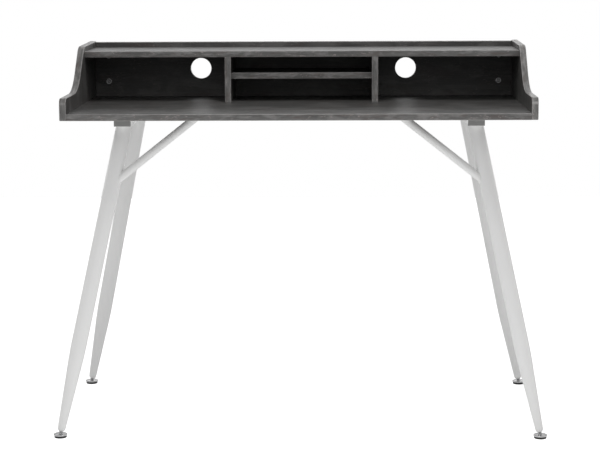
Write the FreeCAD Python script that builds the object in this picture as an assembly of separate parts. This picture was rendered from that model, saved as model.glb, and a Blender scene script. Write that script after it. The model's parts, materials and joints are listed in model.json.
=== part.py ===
import FreeCAD, Part
import math
import os

# A desk with a low hutch on splayed tube legs, in millimetres.
# X runs to the right, Y from front to back, Z up; the origin is on the floor under the middle.

# Boards
desk_width = 1120.0
desk_depth = 560.0
worktop_height = 778.0
board = 15.0
board_edge_radius = 1.2

# Hutch, stacked upward from the worktop
hutch_depth = 220.0
centre_bay_width = 355.0
lower_slot_height = 57.5
upper_slot_height = 41.0
middle_shelf_setback = 22.0
gallery_rise = 13.0
cable_hole_radius = 27.0
cable_hole_spread = 268.0
cable_hole_drop = 41.0

# Side panel outline
arm_height = 37.0
ramp_angle = 41.0
ramp_lead = 6.5
side_top_rise = 2.5
side_top_fall = 3.1
arm_corner_radius = 15.0
lower_sweep_radius = 170.0
upper_sweep_radius = 53.0
side_corner_radius = 4.0

# Rails under the worktop, with their end caps
rail_inset = 139.0
rail_setback = 70.0
rail_width = 40.0
rail_height = 20.0
rail_wall = 1.5
cap_flange = 3.0
cap_plug = 14.0
cap_wall = 1.5
cap_edge_radius = 0.8

# Legs, splayed outward from the rails
leg_setback = 45.0
leg_radius = 19.0
leg_wall = 2.0
leg_tip_radius = 9.5
leg_tip_rounding = 7.0
leg_tip_wall = 4.5
leg_taper_length = 195.0
splay_sideways = 155.0
splay_endways = 114.0

# Braces from the front legs to the worktop
brace_radius = 9.5
brace_wall = 1.5
brace_angle = 38.2
brace_head_spread = 245.5
plate_thickness = 3.0
plate_width = 36.0
plate_length = 62.0
plate_corner_radius = 5.0
plate_screw_inset = 8.5

# Levelling feet
pad_height = 5.5
pad_radius = 15.0
pad_rounding = 0.8
disc_radius = 17.0
disc_rim = 4.4
disc_rise = 1.0
disc_rounding = 0.5
hub_radius = 6.2
ball_radius = 2.6
ball_floor = 0.3
throat_rise = 1.5
throat_radius = 2.3
mouth_radius = 3.6
neck_radius = 1.6
neck_length = 4.2
collar_radius = 4.8
collar_length = 1.3
collar_bevel = 0.3
thread_radius = 4.0
thread_length = 23.0
bush_radius = 7.5
bush_length = 22.0

# Cam locks and bolts that draw the boards together
cam_radius = 7.5
cam_depth = 12.0
cam_reach = 34.0
cam_recess_depth = 2.5
cam_recess_length = 8.2
bolt_radius = 3.0
bolt_grip = 10.0
bolt_head_radius = 3.5
bolt_head_length = 5.0
worktop_cam_pitch = 184.0
shelf_cam_inset = 50.0
back_cam_low = 39.0
back_cam_fall = 35.5

# Dowels between the boards
dowel_radius = 4.0
dowel_length = 30.0
dowel_shallow = 10.0
worktop_dowel_inset = 45.0
worktop_dowel_spread = 92.0
divider_dowel_inset = 50.0
back_dowel_pitch = 218.0

# Screws into the underside of the worktop
screw_radius = 2.0
screw_bite = 10.0
screw_head_radius = 4.2
screw_head_height = 2.6
screw_head_rounding = 1.0
screw_recess_depth = 1.3
screw_recess_length = 5.0
recess_width = 1.4
rail_screw_pitch = 92.0
access_hole_radius = 7.0

# Clearances, and how far a cutting tool runs past a face
running_gap = 0.05
stop_gap = 0.4
slip_gap = 0.1
stem_gap = 0.4
cut_over = 1.0

# Planes and lines that follow from the sizes above
half_width = desk_width / 2
inner_half = half_width - board
front = -desk_depth / 2
rear = desk_depth / 2
back_face = rear - board
back_middle = rear - board / 2
hutch_front = rear - hutch_depth
middle_front = hutch_front + middle_shelf_setback
hutch_middle = (hutch_front + back_face) / 2
worktop_under = worktop_height - board
worktop_middle = worktop_height - board / 2
middle_under = worktop_height + lower_slot_height
middle_top = middle_under + board
shelf_under = middle_top + upper_slot_height
shelf_top = shelf_under + board
shelf_middle = shelf_under + board / 2
gallery_top = shelf_top + gallery_rise
divider_spread = centre_bay_width / 2 + board / 2
rail_under = worktop_under - rail_height
rail_spread = half_width - rail_inset
rail_end = desk_depth / 2 - rail_setback
tube_end = rail_end - cap_flange
leg_top_offset = rail_end - leg_setback
foot_spread = rail_spread + splay_sideways
foot_offset = leg_top_offset + splay_endways
ball_height = pad_height + ball_floor + ball_radius
disc_rim_top = pad_height + disc_rim
disc_top = disc_rim_top + disc_rise
collar_top = neck_length + collar_length
leg_tip = collar_top + stop_gap
bush_foot = leg_tip + leg_tip_wall
bush_head = bush_foot + bush_length
taper_top = leg_tip + leg_taper_length

V = FreeCAD.Vector
UP = V(0, 0, 1)
DOWN = V(0, 0, -1)
SIDES = {"left": -1, "right": 1}
ENDS = {"front": -1, "rear": 1}


def box(x0, x1, y0, y1, z0, z1):
    """Box between two corners given in any order."""
    low = V(min(x0, x1), min(y0, y1), min(z0, z1))
    return Part.makeBox(abs(x1 - x0), abs(y1 - y0), abs(z1 - z0), low)


def rod(radius, start, end):
    line = end.sub(start)
    return Part.makeCylinder(radius, line.Length, start, line)


def turned(points, start, axis):
    """Solid of revolution of (radius, height) points, set at start along axis."""
    wire = Part.makePolygon([V(r, 0, h) for r, h in points + points[:1]])
    solid = Part.Face(wire).revolve(V(0, 0, 0), UP, 360)
    solid.Placement = FreeCAD.Placement(start, FreeCAD.Rotation(UP, axis))
    return solid


def edges_along(shape, direction, test):
    """Straight edges of a shape along one direction whose middle passes a test."""
    found = []
    for edge in shape.Edges:
        line = edge.Vertexes[-1].Point.sub(edge.Vertexes[0].Point)
        if line.Length > 0 and line.cross(direction).Length < 1e-6 * line.Length and test(edge.CenterOfMass):
            found.append(edge)
    return found


def near(a, b):
    return abs(a - b) < 1e-4


def soft_front(shape, plane, direction):
    """Round the two long edges of a board at its front plane."""
    return shape.makeFillet(board_edge_radius, edges_along(shape, direction, lambda c: near(c.y, plane)))


def rounded_face(points, radii):
    """Flat face in the YZ plane whose corners are arcs of their own radii."""
    ends = []
    for i, radius in enumerate(radii):
        corner = V(0, *points[i])
        before = V(0, *points[i - 1]).sub(corner).normalize()
        after = V(0, *points[(i + 1) % len(points)]).sub(corner).normalize()
        half = math.acos(before.dot(after)) / 2
        reach = radius / math.tan(half)
        inward = before.add(after).normalize()
        middle = corner.add(inward * (radius / math.sin(half) - radius))
        ends.append((corner.add(before * reach), middle, corner.add(after * reach)))
    edges = []
    for i, (first, middle, last) in enumerate(ends):
        edges.append(Part.Arc(first, middle, last).toShape())
        edges.append(Part.LineSegment(last, ends[(i + 1) % len(ends)][0]).toShape())
    return Part.Face(Part.Wire(edges))


def cross_recess(centre, look, length, depth):
    """Cross-shaped driver recess in a face that looks along a row axis."""
    side = V(1, 0, 0)
    other = look.cross(side)
    cut = None
    for along, across in ((side, other), (other, side)):
        half = along * (length / 2)
        half = half.add(across * (recess_width / 2))
        a = centre.sub(half).sub(look * depth)
        b = centre.add(half).add(look * cut_over)
        bar = box(a.x, b.x, a.y, b.y, a.z, b.z)
        cut = bar if cut is None else cut.fuse(bar)
    return cut


def make_worktop():
    shape = box(-inner_half, inner_half, front, rear, worktop_under, worktop_height)
    return soft_front(shape, front, V(1, 0, 0))


def make_side(sign):
    """Side panel: low arm in front, a sweep up a ramp, then the tall end of the hutch."""
    arm_top = worktop_height + arm_height
    side_top = gallery_top + side_top_rise
    head_y = hutch_front - ramp_lead
    head_z = side_top - side_top_fall
    foot_y = head_y - (head_z - arm_top) / math.tan(math.radians(ramp_angle))
    points = [(front, worktop_under), (front, arm_top), (foot_y, arm_top), (head_y, head_z),
              (rear, side_top), (rear, worktop_under)]
    radii = [side_corner_radius, arm_corner_radius, lower_sweep_radius, upper_sweep_radius,
             side_corner_radius, side_corner_radius]
    panel = rounded_face(points, radii).extrude(V(board, 0, 0))
    panel.translate(V(inner_half if sign > 0 else -half_width, 0, 0))
    outline = [e for e in panel.Edges if near(e.BoundBox.XLength, 0)]
    return panel.makeFillet(board_edge_radius, outline)


def make_back():
    shape = box(-inner_half, inner_half, back_face, rear, worktop_height, gallery_top)
    top_edges = edges_along(shape, V(1, 0, 0), lambda c: near(c.z, gallery_top))
    shape = shape.makeFillet(board_edge_radius, top_edges)
    for s in SIDES.values():
        start = V(s * cable_hole_spread, back_face - cut_over, shelf_under - cable_hole_drop)
        shape = shape.cut(rod(cable_hole_radius, start, start.add(V(0, board + 2 * cut_over, 0))))
    return shape


def make_top_shelf():
    shape = box(-inner_half, inner_half, hutch_front, back_face, shelf_under, shelf_top)
    return soft_front(shape, hutch_front, V(1, 0, 0))


def make_divider(sign):
    x = sign * divider_spread
    shape = box(x - board / 2, x + board / 2, hutch_front, back_face, worktop_height, shelf_under)
    return soft_front(shape, hutch_front, UP)


def make_middle_shelf():
    reach = centre_bay_width / 2
    shape = box(-reach, reach, middle_front, back_face, middle_under, middle_top)
    return soft_front(shape, middle_front, V(1, 0, 0))


def cam_joints():
    """Each cam joint: board with the cam, board with the bolt, point, way out, way the cam looks.

    The point lies where the two boards meet, and the way out runs into the board with the bolt.
    """
    joints = []
    for name, s in SIDES.items():
        side = "side_panel_" + name
        x = s * inner_half
        out = V(s, 0, 0)
        for y in (-worktop_cam_pitch, 0, worktop_cam_pitch):
            joints.append(("worktop", side, V(x, y, worktop_middle), out, DOWN))
        for y in (hutch_front + shelf_cam_inset, back_face - shelf_cam_inset):
            joints.append(("top_shelf", side, V(x, y, shelf_middle), out, DOWN))
        for z in (worktop_height + back_cam_low, gallery_top - back_cam_fall):
            joints.append(("back_panel", side, V(x, back_middle, z), out, V(0, -1, 0)))
    return joints


def dowel_joints():
    """Each dowel: board with the deep hole, board with the shallow hole, point, way into the second."""
    joints = []
    worktop_rows = (front + worktop_dowel_inset, -worktop_dowel_spread, worktop_dowel_spread,
                    rear - worktop_dowel_inset)
    divider_rows = (hutch_front + divider_dowel_inset, back_face - divider_dowel_inset)
    for name, s in SIDES.items():
        side = "side_panel_" + name
        divider = "divider_" + name
        out = V(s, 0, 0)
        for y in worktop_rows:
            joints.append(("worktop", side, V(s * inner_half, y, worktop_middle), out))
        joints.append(("top_shelf", side, V(s * inner_half, hutch_middle, shelf_middle), out))
        for k in (0.5, 1.5):
            point = V(s * k * back_dowel_pitch, back_middle, worktop_height)
            joints.append(("back_panel", "worktop", point, DOWN))
        for y in divider_rows:
            joints.append((divider, "worktop", V(s * divider_spread, y, worktop_height), DOWN))
            joints.append((divider, "top_shelf", V(s * divider_spread, y, shelf_under), UP))
            end = V(s * centre_bay_width / 2, y, middle_under + board / 2)
            joints.append(("middle_shelf", divider, end, out))
    return joints


def cam_parts(point, out, look):
    """One cam lock and its bolt, and the cuts that they need in the two boards."""
    seat = point.sub(out * cam_reach).add(look * (board / 2))
    floor = seat.sub(look * cam_depth)
    head = point.sub(out * (cam_reach + bolt_head_length / 2))
    neck = head.add(out * bolt_head_length)
    tip = point.add(out * bolt_grip)
    slot = rod(bolt_head_radius + slip_gap, head.sub(out * slip_gap), point)
    recess = cross_recess(seat, look, cam_recess_length, cam_recess_depth)
    cam = rod(cam_radius, floor, seat).cut(slot).cut(recess)
    bolt = rod(bolt_head_radius, head, neck).fuse(rod(bolt_radius, neck, tip)).removeSplitter()
    cam_cut = rod(cam_radius, floor, seat.add(look * cut_over)).fuse(slot)
    return cam, bolt, cam_cut, rod(bolt_radius, point, tip)


def make_boards():
    """All boards, the cuts that their joints need, and the cams, bolts and dowels."""
    boards = {"worktop": make_worktop(), "back_panel": make_back(), "top_shelf": make_top_shelf(),
              "middle_shelf": make_middle_shelf()}
    for name, s in SIDES.items():
        boards["side_panel_" + name] = make_side(s)
        boards["divider_" + name] = make_divider(s)
    cuts = {name: [] for name in boards}
    groups = {"cam_locks": [], "cam_bolts": [], "dowels": []}
    for cam_board, bolt_board, point, out, look in cam_joints():
        cam, bolt, cam_cut, bolt_cut = cam_parts(point, out, look)
        groups["cam_locks"].append(cam)
        groups["cam_bolts"].append(bolt)
        cuts[cam_board].append(cam_cut)
        cuts[bolt_board].append(bolt_cut)
    for deep_board, shallow_board, point, into in dowel_joints():
        deep = point.sub(into * (dowel_length - dowel_shallow))
        dowel = rod(dowel_radius, deep, point.add(into * dowel_shallow))
        groups["dowels"].append(dowel)
        cuts[deep_board].append(dowel)
        cuts[shallow_board].append(dowel)
    return boards, cuts, groups


def rail_box(sign, y0, y1, inset):
    """Box along a rail, set in from the rail's outer faces on all four sides."""
    x0 = sign * rail_spread - rail_width / 2 + inset
    x1 = sign * rail_spread + rail_width / 2 - inset
    return box(x0, x1, y0, y1, rail_under + inset, worktop_under - inset)


def rail_screw_seats(sign):
    """Points on the inside of a rail's top wall where its screw heads sit."""
    z = worktop_under - rail_wall
    return [V(sign * rail_spread, y, z) for y in (-rail_screw_pitch, 0, rail_screw_pitch)]


def make_rail(sign):
    past = tube_end + cut_over
    rail = rail_box(sign, -tube_end, tube_end, 0).cut(rail_box(sign, -past, past, rail_wall))
    for seat in rail_screw_seats(sign):
        below = V(seat.x, seat.y, rail_under - cut_over)
        rail = rail.cut(rod(access_hole_radius, below, below.add(UP * (rail_wall + 2 * cut_over))))
        rail = rail.cut(screw_hole(seat, rail_wall))
    return rail


def make_cap(sign, end):
    flange = rail_box(sign, end * tube_end, end * rail_end, 0)
    rim = [e for e in flange.Edges if near(e.CenterOfMass.y, end * rail_end)]
    flange = flange.makeFillet(cap_edge_radius, rim)
    plug_end = tube_end - cap_plug
    plug = rail_box(sign, end * plug_end, end * tube_end, rail_wall)
    hollow = rail_box(sign, end * (plug_end - cut_over), end * tube_end, rail_wall + cap_wall)
    return flange.fuse(plug.cut(hollow)).removeSplitter()


def leg_line(sign, end):
    """Ball centre of a foot, the direction from it up along the leg, and the leg's top."""
    ball = V(sign * foot_spread, end * foot_offset, ball_height)
    top = V(sign * rail_spread, end * leg_top_offset, rail_under)
    return ball, top.sub(ball).normalize(), top


def leg_solid(sign, end):
    """Outside of a leg as a solid with a rounded tip that runs on past the underside of its rail."""
    ball, up, top = leg_line(sign, end)
    past = top.sub(ball).Length + leg_radius
    outline = [(0, leg_tip), (leg_tip_radius, leg_tip), (leg_radius, taper_top),
               (leg_radius, past), (0, past)]
    leg = turned(outline, ball, up)
    tip = ball.add(up * leg_tip)
    rim = [e for e in leg.Edges if e.isClosed() and e.CenterOfMass.distanceToPoint(tip) < 1e-3]
    return leg.makeFillet(leg_tip_rounding, rim)


def make_leg(sign, end):
    """Tube with a closed tip that lets the stem through to the bush seated behind it."""
    ball, up, top = leg_line(sign, end)
    past = top.sub(ball).Length + leg_radius + cut_over
    inside = leg_radius - leg_wall
    hole = thread_radius + stem_gap
    bore = [(0, leg_tip - cut_over), (hole, leg_tip - cut_over), (hole, bush_foot), (bush_radius, bush_foot),
            (bush_radius, bush_head), (inside, taper_top), (inside, past), (0, past)]
    reach = 3 * leg_radius
    above = box(top.x - reach, top.x + reach, top.y - reach, top.y + reach, top.z, top.z + reach)
    return leg_solid(sign, end).cut(turned(bore, ball, up)).cut(above)


def brace_line(sign):
    """Head of a brace at the underside of the worktop, and where it meets its leg's axis."""
    ball, up, top = leg_line(sign, ENDS["front"])
    run = 1 / math.tan(math.radians(brace_angle))
    lean = splay_sideways / (rail_under - ball_height)
    drop = (rail_spread - brace_head_spread - lean * rail_height) / (run - lean)
    meet = top.sub(up * ((drop - rail_height) / up.z))
    return V(sign * brace_head_spread, meet.y, worktop_under), meet


def make_brace(sign):
    head, meet = brace_line(sign)
    past = head.add(head.sub(meet).normalize() * (3 * brace_radius))
    tube = rod(brace_radius, meet, past).cut(rod(brace_radius - brace_wall, meet, past))
    reach = 6 * brace_radius
    above = box(head.x - reach, head.x + reach, head.y - reach, head.y + reach,
                head.z - plate_thickness, head.z + reach)
    tube = tube.cut(above).cut(leg_solid(sign, ENDS["front"]))
    return max(tube.Solids, key=lambda solid: solid.Volume)


def plate_screw_seats(sign):
    head, meet = brace_line(sign)
    reach = plate_length / 2 - plate_screw_inset
    return [V(head.x, head.y + k * reach, head.z - plate_thickness) for k in (-1, 1)]


def make_plate(sign):
    head, meet = brace_line(sign)
    plate = box(head.x - plate_width / 2, head.x + plate_width / 2, head.y - plate_length / 2,
                head.y + plate_length / 2, head.z - plate_thickness, head.z)
    plate = plate.makeFillet(plate_corner_radius, edges_along(plate, UP, lambda c: True))
    for seat in plate_screw_seats(sign):
        plate = plate.cut(screw_hole(seat, plate_thickness))
    return plate


def screw_hole(seat, grip):
    return rod(screw_radius, seat, seat.add(UP * (grip + screw_bite)))


def make_screw(seat, grip):
    """Pan-head screw driven upward; the seat is the middle of the face under its head."""
    low = seat.sub(UP * screw_head_height)
    head = rod(screw_head_radius, low, seat)
    rim = [e for e in head.Edges if near(e.CenterOfMass.z, low.z)]
    head = head.makeFillet(screw_head_rounding, rim)
    recess = cross_recess(low, DOWN, screw_recess_length, screw_recess_depth)
    return head.fuse(screw_hole(seat, grip)).cut(recess).removeSplitter()


def make_bush(sign, end):
    ball, up, top = leg_line(sign, end)
    low = ball.add(up * bush_foot)
    high = ball.add(up * bush_head)
    bore = rod(thread_radius + running_gap, low.sub(up * cut_over), high.add(up * cut_over))
    return rod(bush_radius, low, high).cut(bore)


def make_stem(sign, end):
    """Stem with a ball at its foot, a bevelled collar and the threaded length above it."""
    ball, up, top = leg_line(sign, end)
    tip = collar_top + thread_length
    outline = [(0, 0), (neck_radius, 0), (neck_radius, neck_length),
               (collar_radius - collar_bevel, neck_length), (collar_radius, neck_length + collar_bevel),
               (collar_radius, collar_top - collar_bevel), (collar_radius - collar_bevel, collar_top),
               (thread_radius, collar_top), (thread_radius, tip - collar_bevel),
               (thread_radius - collar_bevel, tip), (0, tip)]
    return turned(outline, ball, up).fuse(Part.makeSphere(ball_radius, ball)).removeSplitter()


def make_disc(sign, end):
    """Level disc with a slightly coned top, and a socket and mouth for the leaning stem."""
    foot = V(sign * foot_spread, end * foot_offset, 0)
    outline = [(0, pad_height), (disc_radius, pad_height), (disc_radius, disc_rim_top),
               (hub_radius, disc_top), (0, disc_top)]
    disc = turned(outline, foot, UP)
    rims = [e for e in disc.Edges if e.Length > 2 * math.pi * hub_radius - 1e-3 and e.isClosed()]
    disc = disc.makeFillet(disc_rounding, rims)
    throat = ball_height + throat_rise
    past = disc_top + cut_over
    mouth = [(0, throat), (throat_radius, throat), (mouth_radius, disc_top), (mouth_radius, past), (0, past)]
    socket = Part.makeSphere(ball_radius + running_gap, foot.add(UP * ball_height))
    return disc.cut(socket).cut(turned(mouth, foot, UP))


def make_pad(sign, end):
    foot = V(sign * foot_spread, end * foot_offset, 0)
    pad = rod(pad_radius, foot, foot.add(UP * pad_height))
    return pad.makeFillet(pad_rounding, [e for e in pad.Edges if near(e.CenterOfMass.z, 0)])


def make_frame(cuts):
    """Rails, caps, legs, braces and feet, with the screws that hold them to the worktop."""
    nodes = {}
    rail_screws = []
    brace_screws = []
    for side, s in SIDES.items():
        nodes["rail_" + side] = make_rail(s)
        nodes["brace_" + side] = make_brace(s)
        nodes["brace_plate_" + side] = make_plate(s)
        for seat in rail_screw_seats(s):
            rail_screws.append(make_screw(seat, rail_wall))
            cuts["worktop"].append(screw_hole(seat, rail_wall))
        for seat in plate_screw_seats(s):
            brace_screws.append(make_screw(seat, plate_thickness))
            cuts["worktop"].append(screw_hole(seat, plate_thickness))
        for end, e in ENDS.items():
            corner = end + "_" + side
            nodes["rail_cap_" + corner] = make_cap(s, e)
            nodes["leg_" + corner] = make_leg(s, e)
            nodes["leg_bush_" + corner] = make_bush(s, e)
            nodes["glide_stem_" + corner] = make_stem(s, e)
            nodes["glide_disc_" + corner] = make_disc(s, e)
            nodes["glide_pad_" + corner] = make_pad(s, e)
    nodes["rail_screws"] = Part.makeCompound(rail_screws)
    nodes["brace_screws"] = Part.makeCompound(brace_screws)
    return nodes


def main():
    os.makedirs("parts", exist_ok=True)
    boards, cuts, groups = make_boards()
    nodes = make_frame(cuts)
    for name, shape in boards.items():
        nodes[name] = shape.cut(cuts[name])
    for name, solids in groups.items():
        nodes[name] = Part.makeCompound(solids)
    for name, shape in nodes.items():
        shape.exportStep("parts/" + name + ".step")


main()
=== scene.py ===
import json
import math

import bpy
import numpy as np
from bpy.props import FloatProperty, FloatVectorProperty, PointerProperty
from mathutils import Matrix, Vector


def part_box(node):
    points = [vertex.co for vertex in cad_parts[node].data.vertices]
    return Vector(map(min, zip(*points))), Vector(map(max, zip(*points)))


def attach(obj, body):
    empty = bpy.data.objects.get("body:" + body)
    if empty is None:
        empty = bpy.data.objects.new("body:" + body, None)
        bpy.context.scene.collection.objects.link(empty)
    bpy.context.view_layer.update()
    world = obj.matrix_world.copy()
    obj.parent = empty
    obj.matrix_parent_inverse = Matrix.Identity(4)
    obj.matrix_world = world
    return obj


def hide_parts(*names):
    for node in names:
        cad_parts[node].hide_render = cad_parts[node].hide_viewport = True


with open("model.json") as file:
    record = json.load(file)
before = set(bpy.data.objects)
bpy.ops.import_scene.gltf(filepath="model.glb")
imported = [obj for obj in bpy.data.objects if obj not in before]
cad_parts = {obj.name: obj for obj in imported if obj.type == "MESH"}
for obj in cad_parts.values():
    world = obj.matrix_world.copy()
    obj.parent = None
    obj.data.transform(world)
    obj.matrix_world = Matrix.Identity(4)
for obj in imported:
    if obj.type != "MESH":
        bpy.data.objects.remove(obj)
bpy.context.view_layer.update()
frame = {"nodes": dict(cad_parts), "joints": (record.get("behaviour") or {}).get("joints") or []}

bl_info = {
    "name": "Desk with hutch",
    "version": (1, 0, 0),
    "blender": (4, 5, 0),
    "location": "3D View > Sidebar > Desk",
    "description": "Laminate, paint, edging, legs and levelling feet of a desk with a low hutch",
    "category": "Object",
}

# Places read from the packed desk, in metres.
TOP_LOW, TOP_HIGH = (np.array(c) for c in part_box("worktop"))
BACK_LOW, BACK_HIGH = (np.array(c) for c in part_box("back_panel"))
SHELF_LOW, SHELF_HIGH = (np.array(c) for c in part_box("top_shelf"))
MIDDLE_LOW, MIDDLE_HIGH = (np.array(c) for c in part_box("middle_shelf"))
DIVIDER_LOW, DIVIDER_HIGH = (np.array(c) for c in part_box("divider_right"))
SIDE_LOW, SIDE_HIGH = (np.array(c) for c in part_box("side_panel_right"))
RAIL_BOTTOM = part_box("rail_right")[0].z
PLATE_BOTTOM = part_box("brace_plate_right")[0].z
BOARD = TOP_HIGH[2] - TOP_LOW[2]

# Each leg's ball and the direction up its tube, from the turning joint of its foot.
LEGS = {
    j["name"].replace("turn_", ""): (np.array(j["pos_m"], float), -np.array(j["axis"], float))
    for j in frame["joints"] if j["type"] == "hinge"
}

# Packed nodes that share a finish. The grain of a board runs along X or Z.
BOARDS_ALONG_X = ("worktop", "back_panel", "top_shelf", "middle_shelf")
BOARDS_ALONG_Z = ("side_panel_left", "side_panel_right", "divider_left", "divider_right")
PAINTED = ("rail_left", "rail_right", "brace_plate_left", "brace_plate_right")
PLATED = ("cam_bolts", "rail_screws", "brace_screws", *("leg_bush_" + corner for corner in LEGS))

# Directions of the desk, with its front towards -Y.
RIGHT = np.array((1.0, 0.0, 0.0))
FORWARD = np.array((0.0, -1.0, 0.0))
UPWARD = np.array((0.0, 0.0, 1.0))

# Where the print of each edging strip starts along the grain, in metres, so that the strips differ.
PRINT_START = {
    "worktop": 0.0, "top_shelf": 2.3, "middle_shelf": 4.1, "gallery": 5.2,
    "divider_left": 6.0, "divider_right": 8.0, "side_left": 8.5, "side_right": 13.5,
}

# Longest steps, in metres, along the profile of a foot, a straight strip and a side panel's outline.
PROFILE_STEP = 0.0006
STRIP_STEP = 0.05
OUTLINE_STEP = 0.006

WHITE = (1.0, 1.0, 1.0, 1.0)


# Settings that a user would change

def size(name, description, default):
    """A length in metres."""
    return FloatProperty(name=name, description=description, default=default, min=0.0, precision=5,
                         subtype="DISTANCE", unit="LENGTH")


def tone(name, description, default):
    """A linear colour."""
    return FloatVectorProperty(name=name, description=description, default=default, size=3, min=0.0, max=1.0,
                               subtype="COLOR")


def share(name, description, default):
    """A number from 0 to 1."""
    return FloatProperty(name=name, description=description, default=default, min=0.0, max=1.0,
                         subtype="FACTOR")


def amount(name, description, default, measure="NONE"):
    """A number from 0 up."""
    return FloatProperty(name=name, description=description, default=default, min=0.0, unit=measure)


def angle(name, description, degrees):
    """An angle, given in degrees and kept in radians."""
    return FloatProperty(name=name, description=description, default=math.radians(degrees), subtype="ANGLE",
                         unit="ROTATION")


class DeskLaminateSettings(bpy.types.PropertyGroup):
    """Printed charcoal grain of the boards and their edging"""
    deep: tone("Deep grain", "Darkest tone of the printed grain", (0.046, 0.045, 0.044))
    body: tone("Body", "Main tone of the laminate", (0.080, 0.079, 0.077))
    pale: tone("Pale grain", "Lightest tone of the printed grain", (0.135, 0.132, 0.129))
    brown: tone("Brown patch", "Dark reddish patches in the grain", (0.066, 0.056, 0.053))
    warm: tone("Warm fleck", "Pinkish flecks scattered in the grain", (0.200, 0.176, 0.168))
    pore: tone("Pore", "Fine dark pores in the grain", (0.020, 0.0195, 0.019))
    edge_lift: share("Edge lift", "How much lighter the edging is than the boards", 0.76)
    # Painted light: the shelves', dividers' and right side panel's edging is a lighter, lit copy of the
    # edging.
    painted_light_lift: amount("Inner edge lift", "The same for the shelves, dividers and right side panel", 1.34)
    roughness: share("Roughness", "Mean roughness of the satin boards", 0.42)
    edge_roughness: share("Edge roughness", "Mean roughness of the edging", 0.38)
    streak: size("Streak length", "Length of the fine streaks along the grain", 0.060)
    board_patch: size("Board patch", "Length of the cloudy patches on the boards", 0.085)
    board_width: size("Board patch width", "Width of the cloudy patches on the boards", 0.040)
    edge_patch: size("Edge patch", "Length of the cloudy patches on the edging", 0.034)
    edge_width: size("Edge patch width", "Width of the cloudy patches on the edging", 0.011)


class DeskEdgingSettings(bpy.types.PropertyGroup):
    """Thin edging strips wrapped over the boards' edges"""
    proud: size("Proud", "How far the strip stands off the board", 0.00025)
    wrap: size("Wrap", "How far the strip reaches round onto the faces", 0.0014)
    corner: size("Corner", "Rounding of the board's long edges", 0.0012)
    arm_height: size("Arm height", "Height of the low arm above the worktop", 0.037)
    ramp_angle: angle("Ramp angle", "Slope of the straight part of the S-curve", 41.0)
    ramp_lead: size("Ramp lead", "Ramp's upper corner ahead of the shelf's front edge", 0.0065)
    top_fall: size("Top fall", "How far the top edge falls towards the ramp", 0.0031)
    lower_sweep: size("Lower sweep", "Radius of the hollow part of the S-curve", 0.170)
    upper_sweep: size("Upper sweep", "Radius of the crown of the S-curve", 0.053)
    arm_corner: size("Arm corner", "Radius of the arm's front upper corner", 0.015)
    small_corner: size("Small corner", "Radius of the other corners of the side panel", 0.004)
    # The pale band at each arm's corner, set by the next four settings, is a painted highlight, stronger on
    # the right arm.
    corner_highlight_rise: size("Bend rise", "Pale stretched band's middle past the start of the arm's corner", 0.0030)
    corner_highlight_width: size("Bend width", "Half the width of the pale stretched band", 0.0056)
    corner_highlight_left: share("Left bend", "How pale the strip is stretched at the left arm's corner", 0.30)
    corner_highlight_right: share("Right bend", "How pale the strip is stretched at the right arm's corner", 0.95)


class DeskPaintSettings(bpy.types.PropertyGroup):
    """White paint of the leg frame and the grey end caps"""
    white: tone("White paint", "Satin paint on legs, rails and braces", (0.840, 0.840, 0.835))
    dusty: tone("Dusty paint", "Faintly soiled paint near the floor and in hollows", (0.690, 0.685, 0.670))
    cap: tone("Cap grey", "Moulded end caps of the rails", (0.300, 0.300, 0.296))
    roughness: share("Roughness", "Mean roughness of the paint", 0.50)
    peel: size("Peel", "Width of the ripples in the paint film", 0.0030)


class DeskLegSettings(bpy.types.PropertyGroup):
    """Splayed tube legs and the front braces"""
    radius: size("Leg radius", "Outside radius of the leg tube", 0.019)
    tip_radius: size("Tip radius", "Radius at the leg's tapered tip", 0.0095)
    tip_rounding: size("Tip rounding", "Rounding of the tip's rim", 0.0070)
    tip_gap: size("Tip height", "Distance from the foot's ball to the leg's tip", 0.0059)
    taper: size("Taper", "Length of the tapered foot of the leg", 0.195)
    hole: size("Stem hole", "Radius of the hole for the threaded stem", 0.0044)
    brace_radius: size("Brace radius", "Outside radius of the brace tube", 0.0095)
    brace_spread: size("Brace spread", "Brace head's distance from the middle of the desk", 0.2455)
    brace_angle: angle("Brace angle", "Slope of the brace above the level", 38.2)
    bead: size("Weld bead", "Radius of the weld beads", 0.0017)
    ripple: size("Weld ripple", "Spacing of the ripples along a bead", 0.0021)


class DeskFootSettings(bpy.types.PropertyGroup):
    """Screw-in levelling feet"""
    pad_radius: size("Pad radius", "Radius of the black pad", 0.015)
    pad_height: size("Pad height", "Height of the black pad", 0.0055)
    disc_radius: size("Disc radius", "Radius of the bright disc", 0.017)
    disc_rim: size("Disc rim", "Height of the disc's upright rim", 0.0036)
    disc_rise: size("Disc rise", "Height of the domed hub above the rim", 0.0018)
    dish: size("Dish", "Depth of the shallow dish in the disc's top", 0.00025)
    hub_radius: size("Hub radius", "Radius of the domed hub round the stem", 0.0062)
    ball_radius: size("Ball radius", "Ball at the stem's lower end", 0.0026)
    neck_radius: size("Neck radius", "Slim neck above the ball", 0.0016)
    neck_length: size("Neck length", "From the ball's centre to the collar", 0.0042)
    collar_radius: size("Collar radius", "Collar under the leg's tip", 0.0048)
    collar_length: size("Collar length", "Height of the collar", 0.0013)
    thread_radius: size("Thread radius", "Outside radius of the thread", 0.0040)
    thread_length: size("Thread length", "Length of the thread above the collar", 0.0230)
    pitch: size("Pitch", "Rise of the thread in one turn", 0.00125)
    chrome: tone("Chrome", "Bright plating of the discs", (0.56, 0.56, 0.566))
    pad: tone("Pad", "Moulded black pads", (0.018, 0.018, 0.019))


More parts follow.
